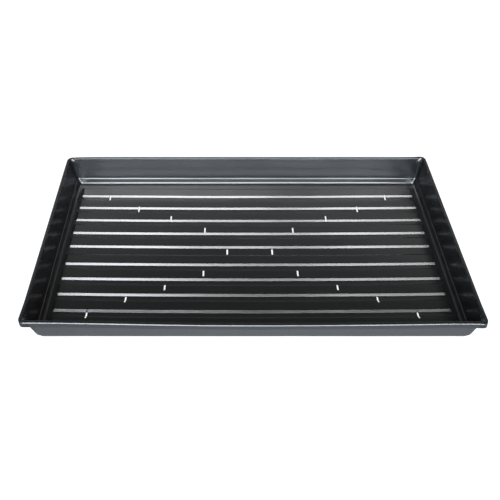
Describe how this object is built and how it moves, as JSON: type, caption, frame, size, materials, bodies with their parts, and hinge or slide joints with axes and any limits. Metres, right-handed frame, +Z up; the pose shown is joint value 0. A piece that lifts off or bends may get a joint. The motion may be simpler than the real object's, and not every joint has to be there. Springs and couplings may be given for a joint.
{
  "type": "propagation tray",
  "caption": "Shallow oblong moulded plastic tray with a turned-down rim, drafted stepped walls, a floor of long raised lands and drain slots cut through it.",
  "frame": {"origin": "under the middle of the tray, on the surface that it stands on", "axes": "+X along the tray's length to the right, +Y across its width to the back, +Z up"},
  "size_m": [0.544, 0.2794, 0.0485],
  "materials": {
    "black_plastic": "satin to gloss black, as moulded"
  },
  "bodies": {
    "root": {"tray": "black_plastic"}
  },
  "joints": []
}
